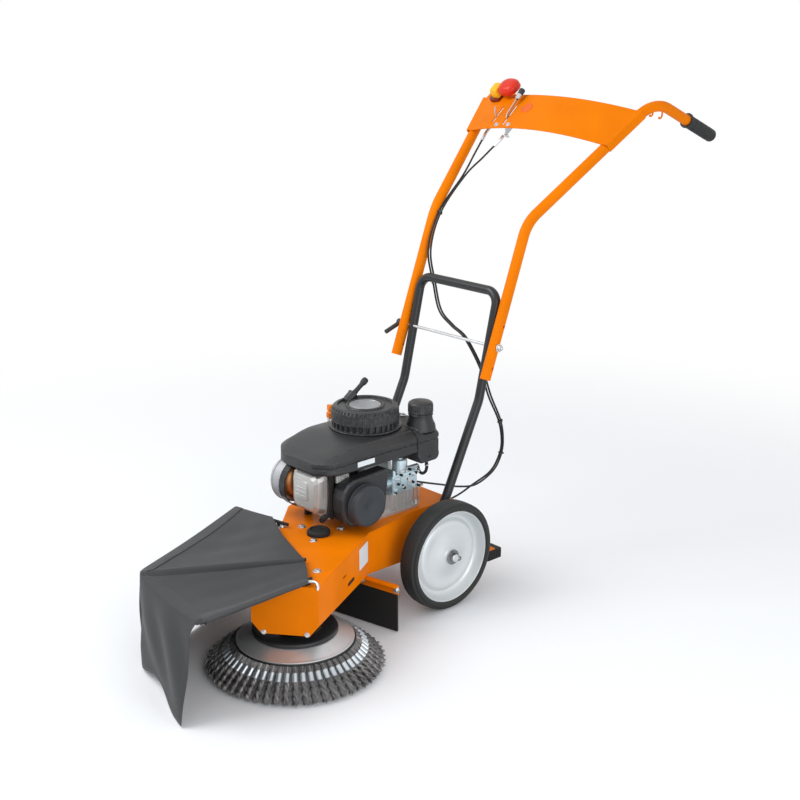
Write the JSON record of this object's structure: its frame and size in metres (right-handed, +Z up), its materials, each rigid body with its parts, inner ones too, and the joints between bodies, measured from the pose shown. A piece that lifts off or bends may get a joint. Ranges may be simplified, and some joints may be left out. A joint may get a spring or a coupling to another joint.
{
  "type": "weed brush machine",
  "caption": "Walk-behind weed brush machine with a belt-driven wire brush in a side arm, vertical-shaft petrol engine, cloth hood and folding handlebar.",
  "frame": {"origin": "middle of the bounding box in plan, on the ground the wheels and brush stand on", "axes": "+Z up, +Y from the brush towards the operator's grips, +X towards the operator's left"},
  "size_m": [0.7264, 1.7488, 1.2509],
  "materials": {
    "orange_paint": "gloss",
    "black_steel": "satin",
    "zinc_steel": "satin",
    "brush_wire": "matte",
    "disc_steel": "satin",
    "rim_paint": "satin",
    "tyre_rubber": "matte",
    "black_rubber": "matte",
    "black_plastic": "satin",
    "cable_sheath": "satin",
    "cast_alloy": "satin",
    "fin_alloy": "matte",
    "silencer_steel": "matte",
    "orange_plastic": "gloss",
    "yellow_plastic": "gloss",
    "red_plastic": "gloss",
    "hood_cloth": "matte"
  },
  "bodies": {
    "frame": {"frame_deck": "orange_paint", "arm_base_plate": "black_steel", "belt_access_cap": "black_rubber", "axle": "zinc_steel", "spindle_housing": "black_steel", "spindle_bearing": "zinc_steel", "stone_flap": "black_rubber", "flap_strip": "orange_paint", "foot_step": "orange_paint", "foot_step_pad": "black_rubber", "crankcase": "cast_alloy", "cylinder": "fin_alloy", "valve_cover": "cast_alloy", "muffler": "silencer_steel", "muffler_guard": "black_steel", "engine_cowl": "black_plastic", "fuel_tank": "black_plastic", "recoil_housing": "black_plastic", "air_filter_box": "black_plastic", "air_filter_cover": "black_plastic", "carburettor": "cast_alloy", "fuel_hose": "black_rubber", "lower_handle": "black_steel", "clamp_rod": "zinc_steel", "throttle_cable_lower": "cable_sheath", "clutch_cable_lower": "cable_sheath", "hood_rod_front": "zinc_steel", "hood_rod_middle": "zinc_steel", "hood_rod_rear": "zinc_steel", "hood_canopy": "hood_cloth", "hood_skirt": "hood_cloth", "drive_belt": "black_rubber"},
    "wheel_left": {"tyre_left": "tyre_rubber", "rim_left": "rim_paint"},
    "wheel_right": {"tyre_right": "tyre_rubber", "rim_right": "rim_paint"},
    "crank": {"crankshaft": "zinc_steel", "engine_pulley": "zinc_steel"},
    "brush": {"wire_brush": "brush_wire", "brush_disc": "disc_steel", "brush_hub": "black_steel", "spindle_shaft": "zinc_steel", "brush_pulley": "zinc_steel"},
    "tension_arm": {"tension_arm": "zinc_steel"},
    "tension_pulley": {"tension_pulley": "black_plastic"},
    "handlebar": {"handle_tube_left": "orange_paint", "handle_tube_right": "orange_paint", "grip_left": "black_rubber", "grip_right": "black_rubber", "console_panel": "orange_paint", "lever_bracket": "zinc_steel", "stop_switch_box": "yellow_plastic", "throttle_cable_upper": "cable_sheath", "clutch_cable_upper": "cable_sheath"},
    "clamp_lever": {"clamp_lever": "black_plastic"},
    "throttle_lever": {"throttle_lever": "zinc_steel"},
    "stop_lever": {"stop_lever": "red_plastic"},
    "starter_handle": {"starter_handle": "black_plastic"},
    "fuel_cap": {"fuel_cap": "black_plastic"},
    "oil_dipstick": {"oil_dipstick": "orange_plastic"}
  },
  "joints": [
    {"name": "wheel_left_spin", "type": "hinge", "parent": "frame", "child": "wheel_left", "pos_m": [0.1614, -0.0414, 0.14], "axis": [1, 0, 0], "continuous": true},
    {"name": "wheel_right_spin", "type": "hinge", "parent": "frame", "child": "wheel_right", "pos_m": [-0.2706, -0.0414, 0.14], "axis": [1, 0, 0], "continuous": true},
    {"name": "crank_spin", "type": "hinge", "parent": "frame", "child": "crank", "pos_m": [-0.0346, -0.1384, 0.196], "axis": [0, 0, 1], "continuous": true},
    {"name": "brush_spin", "type": "hinge", "parent": "frame", "child": "brush", "pos_m": [0.1534, -0.5189, 0.089], "axis": [0, 0, 1], "continuous": true},
    {"name": "tension_swing", "type": "hinge", "parent": "frame", "child": "tension_arm", "pos_m": [-0.0826, -0.3034, 0.208], "axis": [0, 0, 1], "range_deg": [-12, 0], "stiffness_Nm_per_rad": 2, "springref_deg": 5.73},
    {"name": "tension_pulley_spin", "type": "hinge", "parent": "tension_arm", "child": "tension_pulley", "pos_m": [0.00199, -0.3434, 0.196], "axis": [0, 0, 1], "continuous": true},
    {"name": "handlebar_tilt", "type": "hinge", "parent": "frame", "child": "handlebar", "pos_m": [-0.0546, 0.1701, 0.633], "axis": [1, 0, 0], "range_deg": [-14, 3]},
    {"name": "clamp_turn", "type": "hinge", "parent": "frame", "child": "clamp_lever", "pos_m": [-0.2426, 0.1701, 0.633], "axis": [1, 0, 0], "range_deg": [-110, 0]},
    {"name": "throttle_swing", "type": "hinge", "parent": "handlebar", "child": "throttle_lever", "pos_m": [-0.1626, 0.50778, 1.14529], "axis": [1, 0, 0], "range_deg": [0, 44]},
    {"name": "stop_press", "type": "hinge", "parent": "handlebar", "child": "stop_lever", "pos_m": [-0.2478, 0.54797, 1.22973], "axis": [0, 0.7671, 0.6415], "range_deg": [0, 7], "stiffness_Nm_per_rad": 0.5, "springref_deg": -8.59},
    {"name": "starter_pull", "type": "slide", "parent": "frame", "child": "starter_handle", "axis": [0, 0.8139, 0.581], "range_m": [0, 0.32], "stiffness_N_per_m": 20, "springref_m": -0.2},
    {"name": "fuel_cap_turn", "type": "hinge", "parent": "frame", "child": "fuel_cap", "pos_m": [0.0494, -0.0274, 0.488], "axis": [0, 0, 1], "range_deg": [0, 90]},
    {"name": "oil_dipstick_turn", "type": "hinge", "parent": "frame", "child": "oil_dipstick", "pos_m": [-0.1696, -0.1384, 0.4465], "axis": [0, 0, 1], "range_deg": [0, 90]}
  ],
  "couplings": [
    {"joint": "brush_spin", "follows": "crank_spin", "ratio": 0.4839},
    {"joint": "tension_pulley_spin", "follows": "crank_spin", "ratio": -1.2245}
  ]
}
